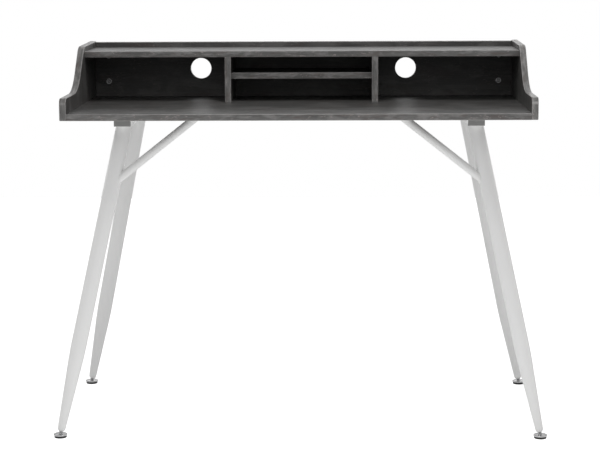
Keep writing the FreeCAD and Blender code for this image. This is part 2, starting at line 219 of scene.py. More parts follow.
class DeskFastenerSettings(bpy.types.PropertyGroup):
    """Cams, screws, bolts and dowels"""
    zinc: tone("Zinc", "Zinc plating of stems and fasteners", (0.560, 0.560, 0.570))
    cast: tone("Cam face", "Dull cast metal of the cams", (0.400, 0.400, 0.405))
    rim: tone("Cam rim", "Brighter raised rims of the cams in the back", (0.860, 0.860, 0.865))
    beech: tone("Beech", "Bare wood of the dowels", (0.560, 0.390, 0.235))
    cam_inset: size("Cam inset", "Cam's centre from the side panel", 0.034)
    cam_low: size("Lower cam", "Lower cam's centre above the worktop", 0.039)
    cam_fall: size("Upper cam", "Upper cam's centre below the gallery's top", 0.0355)
    rim_inner: size("Rim inside", "Inner radius of a cam's rim", 0.0046)
    rim_outer: size("Rim outside", "Outer radius of a cam's rim", 0.0074)
    rim_height: size("Rim height", "How far a cam's rim stands off the panel", 0.0008)


class DeskStageSettings(bpy.types.PropertyGroup):
    """Pale floor, soft light and camera"""
    floor_tone: tone("Floor", "Pale studio floor", (0.800, 0.800, 0.800))
    floor_near: share("Floor glow, front", "Light that the floor gives off in front of the desk", 0.68)
    floor_under: share("Floor glow, under", "Light that the floor gives off under and behind the desk", 0.21)
    key_power: amount("Key power", "Power of the soft box above the front", 9.0, "POWER")
    key_size: size("Key size", "Side of the soft box", 0.45)
    rear_light: amount("Rear light", "Strength of the soft distant light behind the desk", 0.13)
    rear_height: angle("Rear light's height", "Its angle above the level", 31.0)
    rear_soft: angle("Rear light's width", "Angle that it fills, seen from the desk", 24.0)
    front_low: share("Front, low", "Light of the room in front of the desk near the level of the eye", 0.20)
    front_high: share("Front, high", "Light of the room in front of the desk from above", 0.80)
    back_low: amount("Back, low", "Light of the bright backdrop behind the desk", 2.0)
    back_high: share("Back, high", "Light of the room behind the desk from above", 0.50)
    sides: share("Sides", "Light of the room to the left and right", 0.50)
    overhead: share("Overhead", "Light of the room straight above", 0.30)
    eye: FloatVectorProperty(name="Eye", description="Camera position", default=(0.109, -4.5645, 1.1614),
                             size=3, subtype="XYZ", unit="LENGTH")
    lens: amount("Lens", "Focal length on a 36 mm wide frame, in millimetres", 110.316, "CAMERA")
    yaw: angle("Yaw", "Turn of the camera to the right", -1.416)
    pitch: angle("Pitch", "Downward tilt of the camera", 8.95)
    roll: angle("Roll", "Roll of the camera", -0.27)


# Shapes

def unit(v):
    """A vector, or each row of an array, divided by its own length."""
    v = np.asarray(v, float)
    return v / np.linalg.norm(v, axis=-1, keepdims=True)


def square_to(axis):
    """Two unit vectors square to an axis and to each other: each is a cross product with the one before."""
    axis, too_near = unit(axis), 0.9
    helper = (0.0, 1.0, 0.0) if abs(axis[1]) < too_near else (1.0, 0.0, 0.0)
    side = unit(np.cross(helper, axis))
    return side, np.cross(axis, side)


def circle(axis, turns):
    """Angles u in equal steps once round an axis, and the unit vectors cos u * side + sin u * other."""
    side, other = square_to(axis)
    u = np.linspace(0, 2 * np.pi, turns, endpoint=False)
    return u, np.cos(u)[:, None] * side + np.sin(u)[:, None] * other


def rounded(points, radii, steps, closed=False):
    """A line of runs whose corners are arcs. Each arc touches both of its runs at a distance from the corner
    of its radius over the tangent of half their angle."""
    points = np.asarray(points, float)
    count, line = len(points), []
    for i, radius in enumerate(radii):
        here = points[i]
        if radius <= 0 or (not closed and i in (0, count - 1)):
            line.append(here[None])
            continue
        back, on = unit(points[i - 1] - here), unit(points[(i + 1) % count] - here)
        half = 0.5 * math.acos(float(np.clip(back @ on, -1, 1)))
        centre = here + unit(back + on) * radius / math.sin(half)
        reach = radius / math.tan(half)
        first, last = here + back * reach - centre, here + on * reach - centre
        sweep, t = math.pi - 2 * half, np.linspace(0, 1, steps)[:, None]
        line.append(centre + (np.sin((1 - t) * sweep) * first + np.sin(t * sweep) * last) / math.sin(sweep))
    return np.concatenate(line)


def spread(line, gap, closed=False):
    """The same line with its long runs cut into equal steps no longer than gap."""
    ends = np.roll(line, -1, 0) if closed else line[1:]
    starts = line if closed else line[:-1]
    parts = np.maximum(1, np.ceil(np.linalg.norm(ends - starts, axis=1) / gap)).astype(int)
    which = np.repeat(np.arange(len(parts)), parts)
    step = np.arange(len(which)) - np.repeat(np.cumsum(parts) - parts, parts)
    t = (step / parts[which])[:, None]
    out = starts[which] * (1 - t) + ends[which] * t
    return out if closed else np.concatenate([out, line[-1:]])


def lengths(line, closed=False):
    """Distance run along a line at each of its points, and at its start again if it is closed."""
    full = np.concatenate([line, line[:1]]) if closed else line
    return np.concatenate([[0.0], np.cumsum(np.linalg.norm(np.diff(full, axis=0), axis=1))])


def six_volumes(a, b, c):
    """Six times the volume between the origin and triangles: the sum of a . (b x c)."""
    return np.einsum("ij,ij->", a, np.cross(b, c))


def woven(points, uv, ring):
    """Corners, faces and map of a closed grid. Row i and column j make the quad (i, j), (i, j+1), (i+1, j+1),
    (i+1, j). The columns close on themselves. The rows do too in a ring, and otherwise a fan to the end row's
    middle closes each end. A grid of negative volume is turned round, so that its faces look outwards."""
    rows, cols = points.shape[:2]
    i, j = np.meshgrid(np.arange(rows if ring else rows - 1), np.arange(cols), indexing="ij")
    row, next_row, next_j = i * cols, (i + 1) % rows * cols, (j + 1) % cols
    quads = np.stack([row + j, row + next_j, next_row + next_j, next_row + j], -1).reshape(-1, 4)
    quad_uv = np.stack([uv[i, j], uv[i, j + 1], uv[i + 1, j + 1], uv[i + 1, j]], -2).reshape(-1, 4, 2)
    flat = points.reshape(-1, 3)
    tris, tri_uv = np.zeros((0, 3), int), np.zeros((0, 3, 2))
    if not ring:
        middle, last = len(flat), (rows - 1) * cols
        here, after = np.arange(cols), (np.arange(cols) + 1) % cols
        low = np.stack([np.full(cols, middle), after, here], -1)
        high = np.stack([np.full(cols, middle + 1), last + here, last + after], -1)
        tris = np.concatenate([low, high])
        low_uv = np.stack([uv[0, :-1], uv[0, 1:], uv[0, :-1]], -2)
        high_uv = np.stack([uv[-1, :-1], uv[-1, :-1], uv[-1, 1:]], -2)
        tri_uv = np.concatenate([low_uv, high_uv])
        flat = np.concatenate([flat, [points[0].mean(0), points[-1].mean(0)]])
    a, b, c, d = (flat[quads[:, q]] for q in range(4))
    volume = six_volumes(a, b, c) + six_volumes(a, c, d) + six_volumes(*(flat[tris[:, q]] for q in range(3)))
    if volume < 0:
        quads, quad_uv, tris, tri_uv = (part[:, ::-1] for part in (quads, quad_uv, tris, tri_uv))
    return flat, quads, tris, np.concatenate([quad_uv.reshape(-1, 2), tri_uv.reshape(-1, 2)])


def new_object(name, data):
    """An object in the scene."""
    obj = bpy.data.objects.new(name, data)
    bpy.context.scene.collection.objects.link(obj)
    return obj


def piece(name, grids, body, finish, crease=35.0):
    """A mesh of closed grids that rides on a body, smooth where faces meet at less than crease degrees."""
    verts, faces, maps, base = [], [], [], 0
    for grid in grids:
        flat, quads, tris, grid_map = woven(*grid)
        verts.append(flat)
        faces += (quads + base).tolist() + (tris + base).tolist()
        maps.append(grid_map)
        base += len(flat)
    mesh = bpy.data.meshes.new(name)
    mesh.from_pydata(np.concatenate(verts).tolist(), [], faces)
    along = np.concatenate(maps).ravel().astype(np.float32)
    mesh.uv_layers.new(name="along").uv.foreach_set("vector", along)
    mesh.polygons.foreach_set("use_smooth", np.ones(len(mesh.polygons), bool))
    mesh.set_sharp_from_angle(angle=math.radians(crease))
    if mesh.validate():
        raise RuntimeError(f"the surface of {name} has faults")
    mesh.update()
    obj = new_object(name, mesh)
    mesh.materials.append(finish)
    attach(obj, body)
    return obj


def turned(profile, foot, axis, turns, wobble=None):
    """A turned surface: foot + height * axis + radius * ring, with the ring's angle one way and the profile's
    radius and height the other. A wobble adds to the radius. The map runs once round, and in metres along the
    profile."""
    u, ring = circle(axis, turns)
    radius = np.repeat(profile[:, :1], turns, 1)
    if wobble is not None:
        radius = radius + wobble(u[None, :], profile[:, 1:2])
    points = np.asarray(foot) + profile[:, 1][:, None, None] * unit(axis) + radius[..., None] * ring[None]
    uv = np.stack(np.meshgrid(np.linspace(0, 1, turns + 1), lengths(profile)), -1)
    return points, uv, False


def strip(line, out, across, edging, closed=False):
    """Edging carried along a line: the profile is a flat U as thick as the board, its corners rounded and its
    ends sunk into the board. A point is line + o * out + a * across. The map is in metres along the line
    and, from the middle of the U, round the profile."""
    sunk_in, sunk_down = 0.0004, 0.0003
    proud, wrap, half = edging.proud, -edging.wrap, BOARD / 2
    face, reach = half + proud, edging.corner + proud
    corners = [(wrap - sunk_in, sunk_down - half), (wrap, -face), (proud, -face),
               (proud, face), (wrap, face), (wrap - sunk_in, half - sunk_down)]
    profile = rounded(corners, [0, 0, reach, reach, 0, 0], steps=8)
    points = line[:, None] + profile[None, :, :1] * out + profile[None, :, 1:] * across
    v = lengths(profile, closed=True) - 0.5 * lengths(profile)[-1]
    uv = np.stack(np.meshgrid(lengths(line, closed), v, indexing="ij"), -1)
    return points, uv, closed


def straight_strip(start, end, out, across, edging):
    """Edging along a straight board edge from start to end."""
    return strip(spread(np.array([start, end], float), STRIP_STEP), out, across, edging)


def side_outline(edging):
    """Outline of a side panel in the Y-Z plane, front foot first: low arm, hollow sweep, crowned sweep, top
    and back."""
    y0, y1, z0, z1 = SIDE_LOW[1], SIDE_HIGH[1], SIDE_LOW[2], SIDE_HIGH[2]
    arm = TOP_HIGH[2] + edging.arm_height
    crown = (SHELF_LOW[1] - edging.ramp_lead, z1 - edging.top_fall)
    toe = (crown[0] - (crown[1] - arm) / math.tan(edging.ramp_angle), arm)
    small = edging.small_corner
    corners = [(y0, z0), (y0, arm), toe, crown, (y1, z1), (y1, z0)]
    radii = [small, edging.arm_corner, edging.lower_sweep, edging.upper_sweep, small, small]
    return rounded(corners, radii, closed=True, steps=24)


def side_strip(sign, edging):
    """Edging all round a side panel. Out of the panel is square to the outline's direction, which at each
    point is taken from the point before to the point after."""
    flat = spread(side_outline(edging), OUTLINE_STEP, closed=True)
    way = unit(np.roll(flat, -1, 0) - np.roll(flat, 1, 0))
    x = sign * (SIDE_LOW[0] + BOARD / 2)
    line = np.column_stack([np.full(len(flat), x), flat])
    out = np.column_stack([np.zeros(len(flat)), -way[:, 1], way[:, 0]])
    return strip(line, out[:, None], RIGHT, edging, closed=True)


def leg_surface(ball, up, legs):
    """Tapered tube leg: a turned profile from the stem's hole over the rounded tip and up the taper, which a
    parabola eases into the tube, and then straight lines to the rail's underside. There each line ends at
    the height (rail - foot - radius part) / rise."""
    turns, tip_steps, taper_steps, tube_steps = 72, 12, 40, 12
    hole_depth, hole_edge, hole_lip, ease = 0.012, 0.0003, 0.0004, 0.030
    tip, rounding = legs.tip_gap, legs.tip_rounding
    lean = math.atan2(legs.radius - legs.tip_radius, legs.taper)
    mouth, centre = legs.hole + hole_lip, legs.tip_radius - rounding
    turn = np.linspace(-math.acos((mouth - centre) / rounding), -lean, tip_steps)
    nose = np.stack([centre + rounding * np.cos(turn), tip + rounding + rounding * np.sin(turn)], -1)
    h = np.linspace(tip + rounding, tip + legs.taper + ease, taper_steps)[1:]
    slope = math.tan(lean)
    past = np.clip(h - (tip + legs.taper - ease), 0, 2 * ease)
    r = legs.tip_radius + slope * (h - tip) - slope * past ** 2 / (4 * ease)
    r = np.where(h >= tip + legs.taper + ease, legs.radius, r)
    hole = [(legs.hole, tip + hole_depth), (legs.hole, nose[0, 1] + hole_edge)]
    points, uv, _ = turned(np.concatenate([hole, nose, np.stack([r, h], -1)]), ball, up, turns)
    _, ring = circle(up, turns)
    head = (RAIL_BOTTOM - ball[2] - legs.radius * ring[:, 2]) / up[2]
    t = np.linspace(0, 1, tube_steps + 1)[1:, None]
    rise = h[-1] * (1 - t) + head[None] * t
    tube = ball + rise[..., None] * up + legs.radius * ring[None]
    seam = uv[-1:, :, 1:] + np.concatenate([rise, rise[:, :1]], 1)[..., None] - h[-1]
    upper = np.concatenate([np.repeat(uv[-1:, :, :1], tube_steps, 0), seam], -1)
    return np.concatenate([points, tube]), np.concatenate([uv, upper]), False


def brace_line(hand, legs):
    """Where the brace's axis meets the leg's, and its direction up to its head under the worktop. The brace
    lies across the desk, and a line from the head at the brace's slope crosses the leg's axis there."""
    ball, up = LEGS["front_" + hand]
    under, slope = TOP_LOW[2], math.tan(legs.brace_angle)
    # At s along the leg |x| is |ball x| - s * |up x|, and on the brace it is spread + (under - z) / slope.
    s = (abs(ball[0]) - legs.brace_spread - (under - ball[2]) / slope) / (abs(up[0]) - up[2] / slope)
    meet = ball + s * up
    head = np.array([math.copysign(legs.brace_spread, ball[0]), meet[1], under])
    return meet, unit(head - meet)


def brace_ends(hand, legs, turns):
    """The brace's meeting point, direction and ring, and the distances along it where each line round it
    leaves the leg and meets the fixing plate. The first is the larger root of |point - nearest point on the
    leg's axis| = leg radius, and the second lies on the plate's face."""
    _, up = LEGS["front_" + hand]
    meet, run = brace_line(hand, legs)
    _, ring = circle(run, turns)
    skin = legs.brace_radius * ring
    q, w = run - (run @ up) * up, skin - (skin @ up)[:, None] * up
    a, b, c = q @ q, w @ q, np.einsum("ij,ij->i", w, w) - legs.radius ** 2
    first = (-b + np.sqrt(np.maximum(b * b - a * c, 0))) / a
    last = (PLATE_BOTTOM - meet[2] - skin[:, 2]) / run[2]
    return meet, run, ring, first, last


def brace_surface(hand, legs):
    """Straight tube between the leg and the plate: meet + radius * ring + distance * run, its distance going
    from just inside the leg's skin to the plate's face."""
    turns, rows, bite = 48, 14, 0.0005
    meet, run, ring, first, last = brace_ends(hand, legs, turns)
    t = np.linspace(0, 1, rows)[:, None]
    distance = (first[None] - bite) * (1 - t) + last[None] * t
    points = meet + legs.brace_radius * ring[None] + distance[..., None] * run
    uv = np.stack(np.meshgrid(np.linspace(0, 1, turns + 1), t[:, 0] * last.mean()), -1)
    return points, uv, False


def bead(line, outward, onward, legs, fade=1.0):
    """Weld bead round a closed line: a ring of radius bead carried along it in the plane of outward and
    onward. Its radius swells by a sixth with each ripple, sways slowly along the line, and is multiplied by
    fade."""
    fewest_waves, swell, sway, sways, sway_start, sides = 6, 0.16, 0.07, 5, 1.3, 14
    run = lengths(line, closed=True)
    waves = max(fewest_waves, round(run[-1] / legs.ripple))
    s = run[:-1] / run[-1]
    uneven = swell * np.abs(np.sin(np.pi * waves * s)) + sway * np.sin(2 * np.pi * sways * s + sway_start)
    radius = legs.bead * (1 + uneven) * fade
    a = np.linspace(0, 2 * np.pi, sides, endpoint=False)[None, :, None]
    points = line[:, None] + radius[:, None, None] * (np.cos(a) * outward[:, None] + np.sin(a) * onward)
    uv = np.stack(np.meshgrid(run, np.linspace(0, 2 * math.pi * legs.bead, sides + 1), indexing="ij"), -1)
    return points, uv, True


def leg_bead(ball, up, legs):
    """Bead where a leg meets its rail: along the leg's cut end, thinner by the fourth power of the sideways
    part of its direction, where the tube runs out to the rail's sides."""
    steps, drop, thinner = 420, 0.0007, 0.72
    _, ring = circle(up, steps)
    head = (RAIL_BOTTOM - drop - ball[2] - legs.radius * ring[:, 2]) / up[2]
    line = ball + head[:, None] * up + legs.radius * ring
    flat = unit(ring * (1, 1, 0))
    return bead(line, flat, UPWARD, legs, 1 - thinner * flat[:, 0] ** 4)


def brace_beads(hand, legs):
    """Beads at the foot of a brace, on the leg, and at its head, on the plate."""
    steps, foot_rise, head_drop = 260, 0.0004, 0.0008
    meet, run, ring, first, last = brace_ends(hand, legs, steps)
    skin = meet + legs.brace_radius * ring
    return [bead(skin + distance[:, None] * run, ring, run, legs)
            for distance in (first + foot_rise, last - head_drop)]


def rim(centre, axis, inner, outer, height):
    """Raised rim: a half-round section between two radii carried round a circle: centre + radius * ring +
    rise * axis. The radius goes as the cosine round the section and the rise as its sine, cut off below the
    face."""
    turns, sides, lowest = 72, 20, -0.3
    _, ring = circle(axis, turns)
    a = np.linspace(0, 2 * np.pi, sides, endpoint=False)
    radius = (inner + outer) / 2 + (outer - inner) / 2 * np.cos(a)
    rise = height * np.maximum(np.sin(a), lowest)
    points = centre + radius[None, :, None] * ring[:, None] + rise[None, :, None] * unit(axis)
    uv = np.stack(np.meshgrid(np.linspace(0, 1, turns + 1), np.linspace(0, 1, sides + 1), indexing="ij"), -1)
    return points, uv, True


def disc_profile(feet):
    """Bright disc: upright rim, a top dished by the square of the radius, and a domed hub, whose radius goes
    as the cosine and its height as the sine, down into the mouth that the ball's neck comes out of."""
    seat, lower_edge, upper_edge, dome_steps = 0.0012, 0.0005, 0.0014, 16
    mouth, throat, throat_top, throat_bottom = 0.0036, 0.0023, 0.0010, 0.0013
    base, flat, top = np.cumsum((feet.pad_height, feet.disc_rim, feet.disc_rise))
    r = feet.disc_radius
    line = [(r - seat, base), (r, base), (r, flat), (feet.hub_radius, flat)]
    plate = spread(rounded(line, [0, lower_edge, upper_edge, 0], steps=9), PROFILE_STEP)
    upper = plate[:, 1] > base + 0.5 * feet.disc_rim
    plate[upper, 1] -= feet.dish * (1 - (plate[upper, 0] / r) ** 2)
    foot = plate[-1, 1]
    t = np.linspace(0, 0.5 * np.pi, dome_steps)[1:]
    dome = np.stack([mouth + (feet.hub_radius - mouth) * np.cos(t), foot + (top - foot) * np.sin(t)], -1)
    return np.concatenate([plate, dome, [(throat, top - throat_top), (throat, top - throat_bottom)]])


def pad_profile(feet):
    """Black pad: eased lower edge, straight wall with a shallow groove, eased upper edge."""
    r, top = feet.pad_radius, feet.pad_height
    floor_inset, top_inset = 0.0022, 0.0020
    groove_low, groove_high, groove_depth = 0.0019, 0.0029, 0.0003
    lower_edge, groove_edge, upper_edge = 0.0008, 0.0001, 0.0003
    groove = [(r, groove_low), (r - groove_depth, groove_low + groove_depth),
              (r - groove_depth, groove_high - groove_depth), (r, groove_high)]
    line = [(r - floor_inset, 0.0), (r, 0.0), *groove, (r, top), (r - top_inset, top)]
    radii = [0, lower_edge, *[groove_edge] * len(groove), upper_edge, 0]
    return spread(rounded(line, radii, steps=6), PROFILE_STEP)


def stem_profile(feet):
    """Stem from its ball up: ball, neck, bevelled collar, thread and pointed end."""
    ball_steps, ball_start, neck_flare, bevel, shoulder = 16, 0.06, 0.0003, 0.0003, 0.0002
    thread_step, thread_stop, point_length, point_radius = 0.00012, 0.0012, 0.0011, 0.0024
    neck, r, thread = feet.neck_radius, feet.collar_radius, feet.thread_radius
    t = np.linspace(-0.5 * math.pi + ball_start, math.acos(neck / feet.ball_radius), ball_steps)
    ball = feet.ball_radius * np.stack([np.cos(t), np.sin(t)], -1)
    low, high, end = np.cumsum((feet.neck_length, feet.collar_length, feet.thread_length))
    collar = [(neck, low - neck_flare), (neck + neck_flare, low), (r - bevel, low), (r, low + bevel),
              (r, high - bevel), (r - bevel, high), (thread + shoulder, high)]
    climb = np.arange(high, end - thread_stop, thread_step)
    screw = np.stack([np.full(len(climb), thread), climb], -1)
    return np.concatenate([ball, collar, screw, [(thread, end - point_length), (point_radius, end)]])


def thread_cut(feet):
    """Depth of the thread: a triangle wave of height less its turn, so that it climbs one pitch a turn to the
    right. It fades in above the collar and out below the point."""
    depth, fade_in, fade_out, point = 0.00062, 0.0016, 0.0012, 0.0014
    start = feet.neck_length + feet.collar_length
    end = start + feet.thread_length - point

    def cut(u, h):
        phase = np.mod((h - start) / feet.pitch - u / (2 * np.pi), 1.0)
        fade = np.clip((h - start) / fade_in, 0, 1) * np.clip((end - h) / fade_out, 0, 1)
        return -depth * (1 - np.abs(2 * phase - 1)) * fade
    return cut


# Finishes

def rgba(colour, factor=1.0):
    """A colour times a factor, with full cover."""
    return (*(factor * part for part in colour), 1.0)


def node(tree, kind, values=None, **settings):
    """A new node with its settings, and with its inputs linked to sockets or set to values."""
    made = tree.nodes.new(kind)
    for key, value in settings.items():
        setattr(made, key, value)
    for key, value in (values or {}).items():
        if isinstance(value, bpy.types.NodeSocket):
            tree.links.new(value, made.inputs[key])
        else:
            made.inputs[key].default_value = value
    return made


def new_finish(name, **values):
    """A material with plain values on its own shader, to be added to."""
    finish = bpy.data.materials.new(name)
    finish.use_nodes = True
    shader = finish.node_tree.nodes["Principled BSDF"]
    for key, value in values.items():
        shader.inputs[key.replace("_", " ")].default_value = value
    return finish, finish.node_tree, shader


def coordinates(tree, which="Object"):
    """Object coordinates, a piece's own map ("UV") or, for the room's light, the direction ("Generated")."""
    return node(tree, "ShaderNodeTexCoord").outputs[which]


def parts(tree, vector):
    """The three parts of a vector."""
    return node(tree, "ShaderNodeSeparateXYZ", {"Vector": vector}).outputs


def scaled(tree, vector, scale, seed):
    """A vector times scale, moved by seed."""
    return node(tree, "ShaderNodeMapping", {"Vector": vector, "Scale": scale, "Location": seed}).outputs[0]


def cloud(tree, vector, scale, seed, detail=2.0, rough=0.5, twist=0.0):
    """Noise whose cells are one over scale metres along each axis; gives the value from 0 to 1."""
    values = {"Vector": scaled(tree, vector, scale, seed), "Scale": 1.0, "Detail": detail,
              "Roughness": rough, "Distortion": twist}
    return node(tree, "ShaderNodeTexNoise", values).outputs[0]


def arched_lines(tree, vector, scale, seed):
    """Saw-tooth bands that noise bends into the arches of a plain-sawn board; gives the value from 0 to 1."""
    values = {"Vector": scaled(tree, vector, scale, seed), "Scale": 1.0, "Distortion": 7.0, "Detail": 2.5,
              "Detail Scale": 0.8, "Detail Roughness": 0.5}
    return node(tree, "ShaderNodeTexWave", values, wave_type="BANDS", bands_direction="DIAGONAL",
                wave_profile="SAW").outputs[1]


def ramp(tree, value, low, high, bottom=0.0, top=1.0):
    """Smooth step from bottom at low to top at high."""
    values = {"Value": value, "From Min": low, "From Max": high, "To Min": bottom, "To Max": top}
    return node(tree, "ShaderNodeMapRange", values, interpolation_type="SMOOTHSTEP").outputs[0]


def sums(tree, operation, a, b=0.0):
    """Arithmetic on two values, or on the first alone."""
    return node(tree, "ShaderNodeMath", {0: a, 1: b}, operation=operation).outputs[0]


def times(tree, a, b):
    """Product of two values."""
    return sums(tree, "MULTIPLY", a, b)


def between(tree, part, below, above):
    """Value below where part is 0 and above where it is 1."""
    return sums(tree, "ADD", times(tree, below, sums(tree, "SUBTRACT", 1.0, part)), times(tree, above, part))


def tint(tree, part, below, above):
    """Colour below where part is 0 and above where it is 1."""
    return node(tree, "ShaderNodeMix", {0: part, 6: below, 7: above}, data_type="RGBA").outputs[2]


def blend(tree, part, below, above, output):
    """Shows shader below where part is 0 and above where it is 1."""
    mix = node(tree, "ShaderNodeMixShader", {0: part, 1: below.outputs[0], 2: above.outputs[0]})
    tree.links.new(mix.outputs[0], tree.nodes[output].inputs["Surface"])


def cover(tree, shader, colour, gloss, height, depth, strength):
    """Links a shader's colour and roughness, and a bump from a height of 0 to 1 times depth metres."""
    bump = node(tree, "ShaderNodeBump", {"Strength": strength, "Distance": depth, "Height": height})
    for key, socket in (("Base Color", colour), ("Roughness", gloss), ("Normal", bump.outputs[0])):
        tree.links.new(socket, shader.inputs[key])


def cells(along, long, wide):
    """Noise scale for grain cells that are so long along one axis and so wide on the others."""
    return tuple(1.0 / (long if axis == along else wide) for axis in range(3))


def laminate(name, settings, along, patch, width, rough, source="Object", lift=0.0):
    """Charcoal printed wood grain along one axis: broad bands, arched lines, cloudy patches pale and brown,
    fine streaks, warm flecks and pores. The patches are patch long and width wide. All tones but the pores'
    are lifted."""
    finish, tree, shader = new_finish(name)
    v = coordinates(tree, source)
    deep, body, pale, brown, warm = (
        rgba(min(1.0, (1 + lift) * part) for part in ink)
        for ink in (settings.deep, settings.body, settings.pale, settings.brown, settings.warm))

    def grain(long, wide, seed, **noise):
        return cloud(tree, v, cells(along, long, wide), seed, **noise)

    bands = grain(long=0.42, wide=0.030, seed=(3.1, 1.7, 5.2), detail=3.0, twist=0.6)
    clouds = grain(patch, width, seed=(1.9, 8.1, 4.4), detail=4.0, rough=0.58, twist=0.5)
    stains = grain(1.3 * patch, 0.8 * width, seed=(6.4, 2.6, 8.3), detail=3.0, rough=0.55, twist=0.4)
    streaks = grain(settings.streak, wide=0.0022, seed=(7.3, 2.9, 0.4), detail=5.0, rough=0.62)
    arches = arched_lines(tree, v, cells(along, long=0.55, wide=0.050), seed=(0.3, 0.7, 0.2))
    flecks = grain(long=0.0075, wide=0.0032, seed=(4.7, 6.2, 9.5), twist=0.3)
    gather = grain(0.9 * patch, width, seed=(9.1, 0.4, 3.6))
    pores = grain(long=0.011, wide=0.00055, seed=(2.2, 3.3, 7.7))
    colour = tint(tree, ramp(tree, bands, low=0.36, high=0.66, top=0.75), body, deep)
    colour = tint(tree, ramp(tree, clouds, low=0.44, high=0.68, top=0.80), colour, pale)
    colour = tint(tree, ramp(tree, stains, low=0.52, high=0.68, top=0.75), colour, brown)
    colour = tint(tree, ramp(tree, streaks, low=0.48, high=0.72, top=0.42), colour, pale)
    colour = tint(tree, ramp(tree, arches, low=0.62, high=1.0, top=0.30), colour, deep)
    fleck = ramp(tree, flecks, low=0.56, high=0.70, top=0.85)
    colour = tint(tree, times(tree, fleck, ramp(tree, gather, low=0.46, high=0.64)), colour, warm)
    pore = ramp(tree, pores, low=0.60, high=0.72)
    pore_cover, pore_dulling, pore_depth, streak_height = 0.50, 0.12, 0.5, 0.6
    colour = tint(tree, times(tree, pore, pore_cover), colour, rgba(settings.pore))
    gloss = ramp(tree, streaks, low=0.30, high=0.72, bottom=rough - 0.05, top=rough + 0.07)
    gloss = sums(tree, "ADD", gloss, times(tree, pore, pore_dulling))
    height = sums(tree, "SUBTRACT", times(tree, streaks, streak_height), times(tree, pore, pore_depth))
    cover(tree, shader, colour, gloss, height, depth=0.00008, strength=0.6)
    return finish, tree, shader, v, colour


def edging_finish(name, settings, edging, lift, bend, stretched):
    """Laminate print that follows the strip, lighter, with pale worn arrises where the strip turns onto the
    faces. A pale band at the distance bend along the print shows where it is stretched round an arm's
    corner."""
    finish, tree, shader, v, colour = laminate(name, settings, 0, settings.edge_patch, settings.edge_width,
                                               settings.edge_roughness, "UV", lift)
    run, side, _ = parts(tree, v)
    off = sums(tree, "ABSOLUTE", side)
    arris = BOARD / 2 - edging.corner
    # Pale arrises: wear, and a painted highlight along the rounded edges.
    wear_highlight_full, wear_highlight_fading, wear_highlight_end = arris + 0.0006, arris + 0.0018, arris + 0.0026
    wear_and_highlight = times(tree, ramp(tree, off, low=arris, high=wear_highlight_full),
                 ramp(tree, off, low=wear_highlight_end, high=wear_highlight_fading))
    wear_highlight_patches = cloud(tree, v, scale=(60.0, 400.0, 1.0), seed=(5.5, 1.2, 0.0), detail=4.0, rough=0.6)
    wear_and_highlight = times(tree, wear_and_highlight, ramp(tree, wear_highlight_patches, low=0.36, high=0.66, bottom=0.35, top=0.90))
    # Painted highlight: a pale band across the strip at the arm's corner.
    past = sums(tree, "ABSOLUTE", sums(tree, "SUBTRACT", run, bend))
    painted_corner_highlight = times(tree, ramp(tree, past, low=edging.corner_highlight_width, high=0.0, top=stretched),
                   ramp(tree, wear_highlight_patches, low=0.30, high=0.62, bottom=0.70))
    wear_and_highlight = sums(tree, "MAXIMUM", wear_and_highlight, painted_corner_highlight)
    wear_and_highlight_tone = rgba(settings.pale, factor=3.0)
    tree.links.new(tint(tree, wear_and_highlight, colour, wear_and_highlight_tone), shader.inputs["Base Color"])
    return finish


def paint_finish(settings):
    """White satin paint: faintly rippled film, slight change of tone, dust specks and soil near the floor."""
    finish, tree, shader = new_finish("white_satin_paint", Specular_IOR_Level=0.35)
    v = coordinates(tree)
    shift = cloud(tree, v, scale=(9.0, 9.0, 5.0), seed=(1.1, 2.2, 3.3), detail=3.0)
    specks = cloud(tree, v, scale=(900.0, 900.0, 900.0), seed=(0.4, 0.8, 0.1), detail=1.0)
    splashes = cloud(tree, v, scale=(70.0, 70.0, 30.0), seed=(2.0, 5.0, 1.0), detail=4.0, rough=0.6)
    soil_top, soil_full = 0.090, 0.010
    near_floor = ramp(tree, parts(tree, v)[2], low=soil_top, high=soil_full, top=0.25)
    soil = times(tree, near_floor, ramp(tree, splashes, low=0.40, high=0.75))
    soil = sums(tree, "MAXIMUM", soil, ramp(tree, specks, low=0.74, high=0.80, top=0.45))
    soil = sums(tree, "MAXIMUM", soil, ramp(tree, shift, low=0.35, high=0.75, top=0.12))
    base = tint(tree, soil, rgba(settings.white), rgba(settings.dusty))
    satin = settings.roughness
    gloss = ramp(tree, shift, low=0.30, high=0.70, bottom=satin - 0.04, top=satin + 0.05)
    peel = cloud(tree, v, scale=(1 / settings.peel,) * 3, seed=(6.0, 1.0, 2.0), rough=0.4)
    cover(tree, shader, base, gloss, peel, depth=0.00006, strength=0.5)
    return finish


def moulded_finish(name, colour, scuffed, rough, cell):
    """Moulded plastic: spark-eroded texture in cells of a given width, and scuffs that are scuffed times as
    light."""
    finish, tree, shader = new_finish(name)
    v = coordinates(tree)
    grit = cloud(tree, v, scale=(1 / cell,) * 3, seed=(0.5, 0.2, 0.9), detail=3.0, rough=0.6)
    scuff = cloud(tree, v, scale=(90.0, 320.0, 120.0), seed=(3.0, 1.0, 2.0), detail=4.0, rough=0.6)
    shown = ramp(tree, scuff, low=0.50, high=0.80, bottom=0.05, top=0.55)
    base = tint(tree, shown, rgba(colour), rgba(colour, factor=scuffed))
    gloss = ramp(tree, grit, low=0.3, high=0.7, bottom=rough - 0.07, top=rough + 0.07)
    cover(tree, shader, base, gloss, grit, depth=0.00005, strength=0.6)
    return finish


